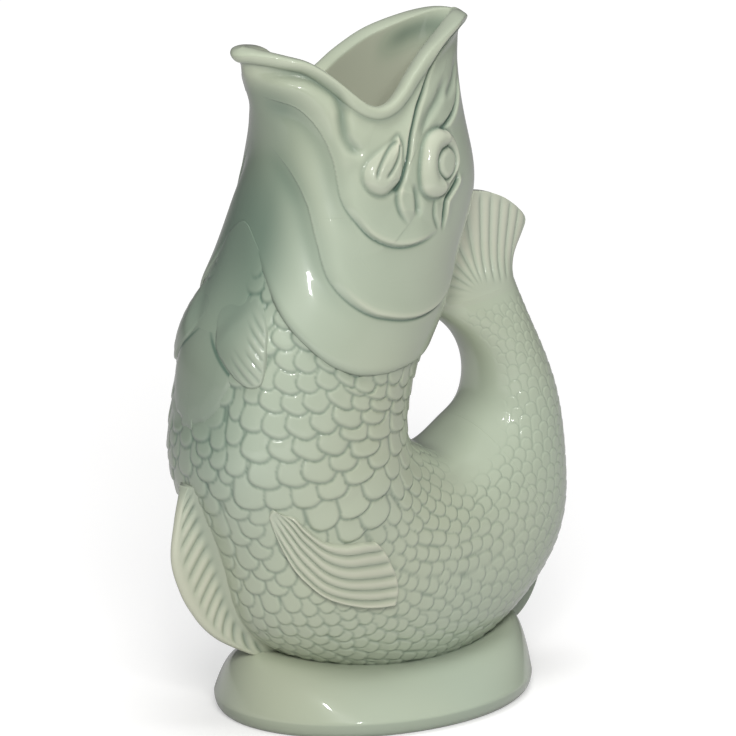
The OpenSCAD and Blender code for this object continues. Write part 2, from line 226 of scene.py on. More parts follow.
def within(s, th, poly):
    """Whether [station, angle] lies inside a closed outline."""
    inside = np.zeros(s.shape, bool)
    pts = np.asarray(poly, float)
    for (s0, t0), (s1, t1) in zip(pts, np.roll(pts, -1, 0)):
        cross = (t0 > th) != (t1 > th)
        at = s0 + (s1 - s0) * (th - t0) / (t1 - t0 if t1 != t0 else 1e-9)
        inside ^= cross & (s < at)
    return inside


def depth_inside(s, th, p, trace, reach):
    """Distance to a closed outline, positive inside it and negative outside."""
    d, _, _ = trace.near(p, reach)
    return np.where(within(s, th, trace.st), d, -d)


def bump(d, w):
    """A smooth hill of height 1 and about the width w on either side of d = 0."""
    return np.exp(-(d / w) ** 2)


def taper(t, a, b):
    """Fades out over the first share a and the last share b of a curve."""
    v = ease(t / a) if a else 1
    return v * (ease((1 - t) / b) if b else 1)


# Curves of the face, in [station, angle]
CREASE_1 = Trace([
    (1.02, 8), (1.1, 18), (1.22, 32), (1.44, 40), (1.78, 46), (2.16, 50), (2.48, 52.3),
    (2.73, 54.5), (2.94, 58.5), (3.12, 63.8), (3.37, 72.5), (3.55, 83.5), (3.61, 92.5),
    (3.58, 101.2), (3.52, 106.5), (3.46, 112)])
CREASE_2 = Trace([
    (1.9, 4), (2.02, 12), (2.34, 25), (2.8, 37), (3.38, 46.5), (3.92, 57), (4.4, 74), (4.74, 92),
    (4.9, 111), (4.8, 128), (4.4, 140), (4.1, 148)])
LIP_GROOVE = Trace([
    (0.5, 12), (0.52, 22), (0.55, 35), (0.64, 45), (0.82, 52), (1.06, 57.5), (1.3, 59), (1.52, 58),
    (1.72, 57.8), (1.85, 58.8), (1.98, 61.2), (2.08, 64.8), (2.11, 66.8)])
LONG_GROOVE = Trace([
    (0.2, 158), (0.32, 147), (0.62, 129), (0.98, 117), (1.26, 109), (1.52, 101), (1.88, 93),
    (2.26, 88.5), (2.62, 84), (2.78, 78)])
FLUTE = Trace([(1.12, 132), (1.26, 126), (1.42, 119), (1.6, 109), (1.78, 102.5), (2.02, 98)])
FLUTE_2 = Trace([(0.9, 150), (1.12, 145), (1.32, 136), (1.48, 122)])
BROW = Trace([(1.2, 149), (1.5, 140), (1.68, 131), (1.78, 123.5), (1.84, 118), (1.87, 113.5)])
EYE_SLIT = Trace([
    (2.61, 121), (2.73, 120), (2.88, 115), (3.01, 111), (3.19, 110.5), (3.36, 111.2),
    (3.53, 112.8)])
LOBE = Trace([(2.94, 104.2), (3.05, 103.2), (3.22, 104), (3.38, 107), (3.5, 110.2)])
DROP = Trace([
    (2.58, 84), (2.7, 82.8), (2.84, 82.5), (2.99, 83.8), (3.11, 85.8), (3.24, 89.2), (3.3, 92)])
DROP_HOLLOW = Trace([(2.6, 91.5), (2.74, 92.2), (2.94, 93), (3.09, 93.8), (3.2, 93.6)])
RIM_LINE = Trace([(float(rim_at(a)), a) for a in range(0, 181, 3)], 900)


def shelf(d, side, rise, reach, height):
    """A plate's edge: full height just inside it, thinning out over the reach."""
    inner = (1 - bump(d, rise)) * np.exp(-d / reach)
    return np.where(side > 0, height * inner, 0)


def layer(h, pool_and_painted_light, near, ends, crisp_from, height):
    """Edge of a layer of clay: a soft fold near the throat that sharpens to a thin line."""
    d, t, side = near
    w = taper(t, *ends)
    crisp = ease((t - crisp_from) / 0.3)
    fold = 1 - crisp
    h += w * (shelf(d, side, 0.9 + 4 * fold, 9 + 7 * fold, height)
              - 0.25 * crisp * bump(d, 0.7)
              - 0.8 * fold * np.where(side > 0, 0, bump(d - 3, 4)))
    pool_and_painted_light += w * (0.8 * crisp * bump(d + np.where(side > 0, 0.3, -0.1), 0.6)
                 + 0.34 * fold * bump(d - np.where(side > 0, -2, 2), 4)
                 - 0.12 * crisp * np.where(side > 0, bump(d - 2.2, 1.6), 0))


def groove(h, pool_and_painted_light, near, ends, depth, width, tone, banks):
    """A carved line, with a raised bank on its left and on its right."""
    d, t, side = near
    w = taper(t, *ends)
    bank = np.where(side > 0, banks[0], banks[1])
    h += w * (bank * (1 - bump(d, width)) * bump(d, 4 * width) - depth * bump(d, width))
    pool_and_painted_light += w * tone * bump(d, 0.85 * width)


# Carved lines of the face: the curve and how far from it it matters, the shares of its ends that
# fade, depth, width, tone of the glaze in it, and the heights of its left and right banks
GROOVES = [
    (LIP_GROOVE, 14, (0.3, 0.1), 1.4, 2.3, 0.36, (0.3, 1.1)),
    (LONG_GROOVE, 14, (0.12, 0.1), 1.7, 0.85, 1.15, (0.35, 1)),
    (FLUTE, 12, (0.3, 0.3), 0.9, 1.9, 0.3, (0.6, 0.1)),
    (FLUTE_2, 12, (0.3, 0.3), 0.8, 1.7, 0.25, (0.3, 0.1)),
    (BROW, 12, (0.3, 0.08), 1.2, 0.9, 0.7, (0.8, 0.3)),
    (EYE_SLIT, 12, (0.12, 0.3), 2.1, 0.75, 1.4, (1.1, 0.4)),
    (LOBE, 10, (0.15, 0.25), 0.6, 0.7, 0.4, (0.5, 0)),
    (DROP_HOLLOW, 10, (0.3, 0.3), 1.2, 1.4, 0.3, (0.4, 0.5))]


def throat_pool_and_shade(s, th):
    """Painted shade on the throat's front, along with glaze pooled in its soft hollows: the glaze
    is deeper and bluer there.
    """
    return 0.56 * fall(th, 14, 36) * fall(s, 6.2, 1.6) * ramp(s, 0.5, 0.6)


def gill_pool_and_shade(s, th):
    """Painted shade round the point of the gill cover, on both sides of its edge, along with glaze
    pooled in its fold: the glaze is deeper still there.
    """
    a, b = rim_at(th), gill_at(th)
    near = np.where(s < b, ease(((s - a) / (b - a) - 0.5) / 0.45), 1 - ease((s - b) / 2))
    return 0.3 * fall(th, 12, 34) * near


def head_relief(s, th, p):
    """Height of the head's clay above the plain skin, and how deep the glaze pools there, with
    painted shade at the throat and round the gill cover's point.
    """
    a, b = rim_at(th), gill_at(th)
    f = (s - a) / (b - a)
    h = 1.6 * ramp(f, 0.45, 0.55) * (0.25 + 0.75 * ramp(th, 14, 30))
    pool_and_painted_light = throat_pool_and_shade(s, th) + gill_pool_and_shade(s, th) + 0.06 * ramp(s, 0.5, 0.6)
    layer(h, pool_and_painted_light, CREASE_1.near(p, 30), (0.12, 0.16), 0.4, 1.7)
    layer(h, pool_and_painted_light, CREASE_2.near(p, 30), (0.2, 0.16), 0.3, 1.7)
    for curve, reach, *line in GROOVES:
        groove(h, pool_and_painted_light, curve.near(p, reach), *line)
    d, t, side = DROP.near(p, 16)
    w = taper(t, 0.15, 0.45)
    h += w * (shelf(d, side, 0.9, 4, 1.5) - 0.4 * bump(d, 0.8))
    pool_and_painted_light += 0.42 * w * bump(d, 0.7)
    # the rolled rim, with a soft hollow below it
    d, _, _ = RIM_LINE.near(p, 16)
    h += 1.35 * arc((d - 1.7) / 3) - (0.35 + 0.4 * fall(th, 50, 14)) * bump(d - 6.6, 2.6)
    h -= 0.5 * ramp(th, 72, 12) * fall(th, 150, 20) * bump(d - 8, 3)
    pool_and_painted_light += 0.24 * bump(d - 5, 1.1) - 0.14 * bump(d - 1, 1.8)
    return h, pool_and_painted_light


# ---- scales
BED_TOP, BED_FOOT = 3, 16
ROWS_END = 8.4
FLANK_SCALE, LOW_SCALE = 8.4, 5.3

# The large scales that the photo shows on the flank: station, angle, width and height
SHOWN = np.array([
    [5.16, 51, 7, 6.6], [5.21, 60, 6.4, 7], [5.26, 70, 7.4, 5.8], [5.47, 44, 4.3, 6.3],
    [5.49, 53, 7.7, 7.9], [5.54, 63, 6.4, 7.4], [5.56, 72, 6.6, 6.8], [5.6, 81, 8, 4.8],
    [5.69, 37, 5.2, 5.3], [5.76, 47, 7.5, 7.5], [5.85, 58, 7.7, 7.3], [5.89, 68, 7.1, 6.7],
    [5.93, 80, 9.3, 5.6], [5.84, 87, 9.1, 4.7], [5.89, 92, 8.6, 4.6], [6.11, 100, 11.5, 4.6],
    [6.34, 116, 12.1, 5.7], [5.89, 30, 5.1, 7.8], [6, 39, 7.3, 10], [6.14, 51, 8.1, 9.2],
    [6.22, 63, 9.1, 8.3], [6.25, 74, 7.9, 7.5], [6.31, 86, 10.9, 7.2], [6.2, 93, 8.9, 5.1],
    [6.41, 106, 12, 4.6], [6.56, 102, 11.7, 5.2], [6.7, 122, 11.2, 4.8], [6.26, 31, 6.2, 7.6],
    [6.47, 42, 8.3, 8.5], [6.54, 56, 9, 7.7], [6.62, 68, 9.7, 7.3], [6.65, 80, 9, 8.3],
    [6.69, 92, 12, 5.3], [6.91, 108, 13.5, 5.3], [7.05, 99, 13.5, 5.8], [7.05, 124, 12.3, 5.3],
    [6.71, 33, 7.5, 7.6], [6.86, 47, 9.6, 10], [6.93, 61, 9.3, 9.7], [7, 73, 9.9, 9.1],
    [7.03, 86, 9.6, 7.7], [7.39, 94, 13.5, 6.7], [7.38, 107, 11.1, 5.9], [7.45, 122, 9.1, 5.7],
    [7.14, 38, 10.4, 10], [7.31, 66, 9.7, 9.3], [7.38, 79, 10.4, 7.4], [7.79, 102, 13.5, 8.4],
    [7.84, 88, 13.5, 6.4], [7.73, 72, 11.6, 8], [8.23, 96, 13.5, 8.1], [8.16, 84, 11.4, 6.6],
    [8.15, 114, 6.3, 10], [6.29, 10, 8.5, 5.4], [6.38, 22, 6.2, 5.3], [6.5, 14, 7, 6.1],
    [6.62, 23, 6.8, 7.1], [6.64, 9, 6, 5.9], [6.83, 16, 8.8, 6.2], [6.86, 28, 5.4, 5.5],
    [7.04, 8, 8.8, 7.6], [7.05, 23, 8.8, 7.2], [7.26, 13, 8.8, 7.6], [7.31, 30, 8.8, 7.6],
    [7.54, 14, 8.8, 7.6], [7.56, 34, 8.8, 7.6], [7.45, 40, 7.3, 4.6], [7.64, 25, 8.8, 7.6],
    [7.69, 40, 6.8, 8.1], [7.78, 12, 8.8, 7.6], [7.83, 34, 8.8, 7.6], [7.94, 24, 8.8, 7.6],
    [7.96, 8, 8.8, 7.6], [8.01, 40, 8.8, 8.1], [8.1, 32, 8.8, 7], [8.07, 16, 8.8, 6.8],
    [8.25, 44, 7.8, 7.3], [8.26, 24, 8.8, 7.3], [8.34, 38, 8.3, 7], [3.8, 18, 4.6, 6.9],
    [4.11, 30, 5.7, 8.3], [4.47, 43, 6, 7.9], [4.81, 46, 6.5, 6.9], [4.81, 56, 7.4, 7.2],
    [4.55, 54, 7.6, 4.6]])


def scale_width(s, th):
    """Width of a scale: large on the belly's flank, small along the keel, below and on the tail."""
    flank = FLANK_SCALE - fall(s, 4.6, 1.2) + 0.9 * bump(s - 7.3, 1) * bump(th - 84, 24)
    flank = flank - 0.6 * fall(th, 12, 30) - 0.8 * ramp(th, 120, 30)
    low = LOW_SCALE - 0.9 * ramp(s, 11, 2) - 0.9 * ramp(s, 13.6, 1.8)
    return flank + (low - flank) * ramp(s, 8.2, 0.7)


def slant(s, th):
    """Where the scales' free edges turn towards the throat."""
    return ramp(th, 30, 12) * fall(th, 78, 20) * fall(s, 7, 0.7)


def scale_seeds():
    """Middles, widths and heights of the scales on one side.

    Those that the photo shows come first, then rows, then loose ones where there is room.
    """
    rng = np.random.default_rng(11)
    picks, row_s, k = [], BED_TOP, 0
    th = np.linspace(0, 180, 721)
    while row_s < ROWS_END:
        ring = skin(np.full_like(th, row_s), th)
        step = np.linalg.norm(np.diff(ring, axis=0), axis=1)
        count = np.concatenate([[0], np.cumsum(step / scale_width(row_s, th[:-1]))])
        n = int(round(count[-1]))
        u = (np.arange(n + 1) + (0.5 if k % 2 else 0)) * count[-1] / n
        u = u[u <= count[-1]]
        picks.append(np.stack([np.full(len(u), row_s), np.interp(u, count, th)], 1))
        side_step = np.linalg.norm(skin(row_s + 0.02, 80) - skin(row_s, 80)) / 0.02
        row_s += 0.84 * float(scale_width(np.array(row_s), np.array(80))) / side_step
        k += 1
    loose = np.stack([rng.uniform(BED_TOP, BED_FOOT, 26000), rng.uniform(0, 180, 26000)], 1)
    rows = np.concatenate(picks)
    cand = np.concatenate([SHOWN[:, :2], rows, loose])
    wide = np.concatenate([SHOWN[:, 2], scale_width(cand[len(SHOWN):, 0], cand[len(SHOWN):, 1])])
    tall = np.concatenate([SHOWN[:, 3], 0.9 * wide[len(SHOWN):]])
    gap = np.concatenate([np.zeros(len(SHOWN)), np.full(len(rows), 0.8), np.full(len(loose), 0.84)])
    pts, normal, flow = surface(cand[:, 0], cand[:, 1])
    across = np.cross(normal, flow)
    kept, count = np.zeros(len(cand), int), 0
    held, size = np.zeros((len(cand), 3)), np.zeros((len(cand), 2))
    for i in range(len(cand)):
        off = held[:count] - pts[i]
        u = (off @ across[i]) / (0.5 * (wide[i] + size[:count, 0]))
        v = (off @ flow[i]) / (0.5 * (tall[i] + size[:count, 1]))
        z = (off @ normal[i]) / 8
        if not (u * u + v * v + z * z < gap[i] ** 2).any():
            kept[count], held[count], size[count] = i, pts[i], (wide[i], tall[i])
            count += 1
    kept = kept[:count]
    return np.column_stack([cand[kept], wide[kept], tall[kept]])


def relax_seeds(seeds, rounds):
    """Evens out the spacing of the scales that the photo doesn't show, then sets their sizes."""
    s, th = (v.ravel() for v in np.meshgrid(np.linspace(BED_TOP, BED_FOOT, 260),
                                            np.linspace(0, 180, 130), indexing="ij"))
    p = skin(s, th)
    cell = np.linalg.norm(np.cross(skin(s + 0.01, th) - p, skin(s, th + 0.5) - p), axis=1)
    weight = cell / scale_width(s, th) ** 4
    free = np.arange(len(seeds)) >= len(SHOWN)
    for _ in range(rounds):
        c = skin(seeds[:, 0], seeds[:, 1])
        own = distance2(p, c).argmin(1)
        mass = np.bincount(own, weight, len(seeds))
        ok = (mass > 0) & free
        for k, v in ((0, s), (1, th)):
            centre = np.bincount(own, weight * v, len(seeds))[ok] / mass[ok]
            edge = (seeds[ok, 1] < 1) | (seeds[ok, 1] > 179) if k else np.zeros(ok.sum(), bool)
            seeds[ok, k] += np.where(edge, 0, 0.6) * (centre - seeds[ok, k])
    seeds[free, 2] = scale_width(seeds[free, 0], seeds[free, 1])
    seeds[free, 3] = 0.9 * seeds[free, 2]
    return seeds


def scale_relief(p):
    """Height and pooling of the overlapping scales at points of the skin on the -Y side."""
    centre, normal, flow = surface(SEEDS[:, 0], SEEDS[:, 1])
    seeds = (centre, flow, np.cross(normal, flow), SEEDS[:, 2], SEEDS[:, 3],
             slant(SEEDS[:, 0], SEEDS[:, 1]))
    h, pool_and_painted_light = np.zeros(p.shape[:-1]), np.zeros(p.shape[:-1])
    band, reach, most = 24, 16, 9
    for r in range(0, len(p), band):
        x = p[r:r + band].reshape(-1, 3)
        local = ((centre > x.min(0) - reach) & (centre < x.max(0) + reach)).all(1)
        c, along_it, across_it, wide, tall, lean = (v[local] for v in seeds)
        d2 = distance2(x, c)
        near = np.argpartition(d2 / (wide * tall)[None], most, axis=1)[:, :most]
        off = x[:, None, :] - c[near]
        w, k, lean = wide[near], tall[near], lean[near]
        a, b = (off * along_it[near]).sum(-1), (off * across_it[near]).sum(-1)
        # a runs towards a scale's free edge and b across it, both turned where it slants
        cos, sin = np.cos(0.4 * lean), np.sin(0.4 * lean)
        a, b = a * cos - b * sin, b * cos + a * sin
        half = 0.54 * w + 0.2 + np.where(b > 0, 0.35 * lean * w, 0)
        power = 2.2 + 0.35 * lean
        e = ((np.abs(b) / half) ** power
             + (np.maximum(a + 0.12 * k, 0) / (0.68 * k + 0.2)) ** power) ** (1 / power)
        # of the scales that cover a point, the one nearest to the head lies on top
        rank = a / k - 0.32 * lean * b / w
        order = np.where((e < 1) & (a > -1.4 * k), rank, -9)
        top = order.argmax(1)
        i = np.arange(len(x))
        found = order[i, top] > -8
        top = np.where(found, top, e.argmin(1))
        wt, kt, at, et = w[i, top], k[i, top], rank[i, top], e[i, top]
        inside = np.clip(1 - et, 0, 1) * 0.27 * (wt + kt)
        soft = 0.045 * wt + 0.28
        rise = np.where(found, 1 - bump(inside, soft), 0.25)
        tilt = 0.45 + 0.55 * ramp(at, -0.7, 1.2)
        shape = h[r:r + band].shape
        h[r:r + band] = ((0.085 * wt + 0.2) * rise * tilt).reshape(shape)
        pool_and_painted_light[r:r + band] = np.where(found, bump(inside, 0.8 * soft), 0.4).reshape(shape)
    return h, pool_and_painted_light


def body_relief(s, th, p):
    """Height and pooling of belly and tail: smooth at the throat and in the finger gap."""
    h, pool_and_painted_light = scale_relief(p)
    m = 1 - ramp(s, 8.8, 1.6) * ramp(th, 118, 26)
    m = m * fall(s, 15.5, 0.34)
    m = m * (1 - ease((24 - th) / 10) * fall(s, 6.1, 0.35))
    keel = ramp(s, 6.9, 0.5) * fall(s, 9.3, 0.5)
    m = m * (1 - keel * ease((9 - th) / 5))
    bed = 0.5 * (0.085 * scale_width(s, th) + 0.2)
    faint = ramp(s, 9.4, 3.4)
    return (blur(h, 1) - bed) * m * (1 - 0.5 * faint), blur(pool_and_painted_light, 1) * m * (0.7 - 0.4 * faint)


def blur(v, n):
    """Mixes each value of a grid with its neighbours, n times."""
    for _ in range(n):
        e = np.pad(v, 1, "edge")
        v = (e[:-2, 1:-1] + 2 * e[1:-1, 1:-1] + e[2:, 1:-1]) / 4
        e = np.pad(v, 1, "edge")
        v = (e[1:-1, :-2] + 2 * e[1:-1, 1:-1] + e[1:-1, 2:]) / 4
    return v


SEEDS = relax_seeds(scale_seeds(), 8)


# ---- meshes
def new_piece(name, nodes, slot, points, faces, pool_and_painted_light):
    """A mesh piece in metres that stands for its CAD nodes and rides on the jug."""
    points = points.reshape(-1, 3)
    faces = outward(points, faces)
    mesh = bpy.data.meshes.new(name)
    mesh.vertices.add(len(points))
    mesh.vertices.foreach_set("co", (points.astype(np.float32) * MM).ravel())
    sizes = np.concatenate([np.full(len(f), f.shape[1]) for f in faces])
    loops = np.concatenate([f.ravel() for f in faces]).astype(np.int32)
    starts = np.concatenate([[0], np.cumsum(sizes)[:-1]]).astype(np.int32)
    mesh.loops.add(len(loops))
    mesh.loops.foreach_set("vertex_index", loops)
    mesh.polygons.add(len(sizes))
    mesh.polygons.foreach_set("loop_start", starts)
    mesh.polygons.foreach_set("use_smooth", np.ones(len(sizes), bool))
    mesh.update(calc_edges=True)
    mesh.validate()
    # the attribute holds pooled and thinned glaze, along with painted shade and painted light
    values = mesh.attributes.new("pool_and_painted_light", "FLOAT", "POINT")
    values.data.foreach_set("value", pool_and_painted_light.ravel().astype(np.float32))
    ob = bpy.data.objects.new(name, mesh)
    bpy.context.scene.collection.objects.link(ob)
    mesh.materials.append(GLAZES[slot])
    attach(ob, BODY)
    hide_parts(*nodes)


def wall_quads(rows, cols, wrap_rows):
    """Faces between the rows of a grid whose columns run round, and from its end to its start."""
    i = np.arange(rows if wrap_rows else rows - 1)[:, None]
    j = np.arange(cols)[None, :]
    a = i * cols + j
    b = i * cols + (j + 1) % cols
    c = ((i + 1) % rows) * cols + (j + 1) % cols
    d = ((i + 1) % rows) * cols + j
    return np.stack([a, b, c, d], -1).reshape(-1, 4)


def outward(p, faces):
    """Turns the faces over if the closed mesh is inside out."""
    volume = 0
    for f in faces:
        a = p[f[:, 0]]
        for k in range(1, f.shape[1] - 1):
            volume += (a * np.cross(p[f[:, k]], p[f[:, k + 1]])).sum()
    return faces if volume > 0 else [f[:, ::-1] for f in faces]


def both_sides(half):
    """Both sides of values at angles 0 to 180."""
    return np.concatenate([half, half[:, -2:0:-1]], axis=1)


def whole(half):
    """Both sides of points at angles 0 to 180, meeting on the middle plane."""
    half[:, [0, -1], 1] = 0
    return np.concatenate([half, half[:, -2:0:-1] * MIRROR], axis=1)


def pool_of(h, extra, n, gain):
    """The glaze pools where the surface lies below its surroundings and thins on ridges."""
    return np.clip(gain * (blur(h, n) - h), -1, 1) + extra


def tube_faces(rows, cols):
    """Faces of a tube, with lids that join the two halves of its first and its last row."""
    j = np.arange(1, cols // 2 - 1)
    quads = np.stack([j, j + 1, cols - j - 1, cols - j], -1)
    tris = np.array([[0, 1, cols - 1], [cols // 2 - 1, cols // 2, cols // 2 + 1]])
    last = (rows - 1) * cols
    return [wall_quads(rows, cols, False), quads[:, ::-1], tris[:, ::-1], quads + last, tris + last]


MIRROR = np.array([1, -1, 1])
COLS = 640
HALF = COLS // 2 + 1
half_th = np.arange(HALF) * 360 / COLS


def inner_wall(s):
    """The inner wall at a grid of stations."""
    p, n, _ = surface(s, half_th[None])
    return p - n * WALL


# the lip starts this many stations below the rim, and its direction is taken up to the second
LIP_AT, LIP_AHEAD = 0.1, 0.14
LIP_RISE, LIP_ROWS = 2.7, 13
HEAD_ROWS, HEAD_INNER = 330, 70
# millimetres to a station near the gill, and the radius of the gill cover's edge
STATION, EDGE_RADIUS = 17, 2.4


def head_piece():
    f = (np.arange(HEAD_ROWS) / (HEAD_ROWS - 1))[:, None]
    rim, b = rim_at(half_th)[None], gill_at(half_th)[None]
    start = rim + LIP_AT
    s = start * (1 - f) + b * f
    th = np.broadcast_to(half_th[None], s.shape)
    p, n, _ = surface(s, th)
    h, pool_and_painted_light, lowered = head_height(s, th, p)
    pool_and_painted_light = pool_of(h, pool_and_painted_light, 24, 0.5)
    near_edge = 1 - np.clip((b - s) * STATION / EDGE_RADIUS, 0, 1)
    h = h - lowered - 0.9 * (1 - arc(near_edge))
    # painted shade on the gill cover's rounded edge as it turns down
    pool_and_painted_light = pool_and_painted_light + 0.22 * near_edge ** 2 * ramp(th, 24, 24)
    out = p + n * h[..., None]
    # rolled edge of the gill cover: the share of its height given up, a further drop, a step back
    # the edge's rows are painted deeper towards the underside: painted shade under the cover's edge
    edge, edge_pool_and_shade = [], []
    for k, drop, back in ((0.35, 0, 0), (0.75, 0, 0), (1, 0, 0), (1, 0.8, 0.02)):
        q, m, _ = surface(b[0] + 0.028 * math.sin(math.pi * k) - back, half_th)
        edge.append(q + m * (h[-1] - (h[-1] * k + drop))[:, None])
        edge_pool_and_shade.append(np.full(HALF, 0.32 + 0.3 * k))
    g = np.linspace(1, 0, HEAD_INNER)[:, None]
    inner = inner_wall(start * (1 - g) + b * g)
    # the lip rolls over from the inner wall to the outer skin
    q, m, _ = surface(start[0], half_th)
    ahead = skin(rim[0] + LIP_AHEAD, half_th) - skin(start[0], half_th)
    up = -unit(ahead)
    step = np.linalg.norm(ahead, axis=1) / 0.04
    rise = np.minimum(LIP_AT * step, LIP_RISE)
    lip = []
    for k in np.linspace(0, 1, LIP_ROWS + 2)[-2:0:-1]:
        turn = math.pi * k
        offset = h[0] * (0.5 + 0.5 * math.cos(turn)) - WALL * (0.5 - 0.5 * math.cos(turn))
        lip.append(q + m * offset[:, None] + up * (rise * math.sin(turn) ** 0.8)[:, None])
    # the inner wall is painted paler all over, painted light falling in at the mouth; near the rim,
    # towards the inner rail, a band of pooled glaze is deeper
    inner_pool_and_light = (0.95 * bump(np.arange(float(HEAD_INNER)) - 64, 4)[:, None]
                  * ramp(half_th, 120, 20)[None]) - 0.3
    tone = [pool_and_painted_light, np.array(edge_pool_and_shade), inner_pool_and_light, np.full((LIP_ROWS, HALF), -0.06)]
    pts = whole(np.concatenate([out, np.array(edge), inner, np.array(lip)]))
    new_piece("head", ["head_shell"], "body_glaze", pts, [wall_quads(len(pts), COLS, True)],
              both_sides(np.concatenate(tone)))


def body_rows(s):
    """Skin, normals, relief and tone of the belly or the tail at a grid of stations, with the
    throat's painted shade in the tone.
    """
    th = np.broadcast_to(half_th[None], s.shape)
    p, n, _ = surface(s, th)
    h, pool_and_painted_light = body_relief(s, th, p)
    tone = pool_of(h, pool_and_painted_light, 10, 0.3)
    return p, n, h, tone + throat_pool_and_shade(s, th)


def even_shares(start, stop, n):
    """Shares of the way from start, a function of the angle, to stop that lie evenly."""
    f = np.linspace(0, 1, 1600)
    total = 0
    for th in (15, 50, 85):
        a = start(th)
        total = total + np.linalg.norm(np.diff(skin(a + (stop - a) * f, th), axis=0), axis=1)
    run = np.concatenate([[0], np.cumsum(total)])
    return np.interp(np.linspace(0, run[-1], n), run, f)[:, None]


BELLY_ROWS, BELLY_INNER, TAIL_ROWS, TAIL_INNER = 600, 60, 400, 40
# how far belly and tail run into each other, and the belly in under the gill cover
OVERLAP, TUCK = 0.06, 0.12


def belly_piece():
    end = TAIL_START + OVERLAP
    f = even_shares(gill_at, end, BELLY_ROWS)
    gill = gill_at(half_th)[None]
    b = gill - TUCK
    s = b * (1 - f) + end * f
    p, n, h, tone = body_rows(s)
    fold = 0.6 * fall(half_th, 8, 22) * bump(s - b, 0.5)
    out = p + n * (h + fold - 0.5 * ease((s - TAIL_START + 0.02) / 0.08))[..., None]
    g = np.linspace(1, 0, BELLY_INNER)[:, None]
    pts = whole(np.concatenate([out, inner_wall(gill * (1 - g) + end * g)]))
    # painted shade on the belly just under the gill cover's edge, along with glaze pooled in the
    # join
    tone = tone + 0.3 * (1 - ease((s - b - 0.06) / 0.3)) * ramp(half_th, 24, 24)
    tone = tone + gill_pool_and_shade(s, half_th[None])
    tone = both_sides(np.concatenate([tone, np.full((BELLY_INNER, HALF), 0.3)]))
    new_piece("belly", ["belly_shell", "belly_base"], "body_glaze", pts,
              [wall_quads(len(pts), COLS, True)], tone)


def tail_piece():
    start, stop = TAIL_START - OVERLAP, LAST + 0.04
    s = start + (stop - start) * even_shares(lambda th: start, stop, TAIL_ROWS) * np.ones((1, HALF))
    p, n, h, tone = body_rows(s)
    out = p + n * (h - 0.5 * ease((TAIL_START + 0.02 - s) / 0.08)
                   - 0.9 * ease((s - MEET) / 0.12))[..., None]
    inner = inner_wall(np.linspace(LAST - 0.7, start, TAIL_INNER)[::-1, None])
    pts = whole(np.concatenate([out[::-1], inner]))
    tone = both_sides(np.concatenate([tone[::-1], np.full((TAIL_INNER, HALF), 0.3)]))
    new_piece("tail", ["tail_tube"], "body_glaze", pts, tube_faces(len(pts), COLS), tone)


# ---- the face's laid-on pieces
EYE = Trace([
    (1.9, 117), (1.85, 111.2), (1.89, 105.2), (2.01, 100.5), (2.18, 97.5), (2.38, 95.5),
    (2.58, 94.8), (2.76, 95.5), (2.87, 98.2), (2.93, 102.2), (2.93, 106.5), (2.86, 110),
    (2.76, 113), (2.69, 116), (2.6, 119.5), (2.49, 122.2), (2.34, 123.5), (2.17, 123),
    (2.01, 120.8)], 600, True)
PUPIL = Trace([
    (2.15, 115), (2.19, 110.5), (2.28, 107.2), (2.39, 105.8), (2.5, 105.8), (2.61, 107.5),
    (2.67, 110.2), (2.63, 113.8), (2.54, 116.8), (2.44, 118.5), (2.31, 119),
    (2.21, 117.5)], 400, True)
LEAF = Trace([
    (1.85, 85.8), (1.92, 82), (2.01, 76.5), (2.13, 70.5), (2.26, 66.8), (2.4, 65.2), (2.55, 66),
    (2.67, 69), (2.74, 73.2), (2.74, 77), (2.65, 80.5), (2.53, 83.2), (2.36, 84.8), (2.17, 85.8),
    (2, 86.6)], 500, True)
LEAF_SLIT_1 = Trace([(1.9, 84.6), (2.02, 79.2), (2.19, 74.8), (2.37, 72), (2.54, 71)])
LEAF_SLIT_2 = Trace([(1.96, 85), (2.13, 83.6), (2.33, 80), (2.52, 75.5)])


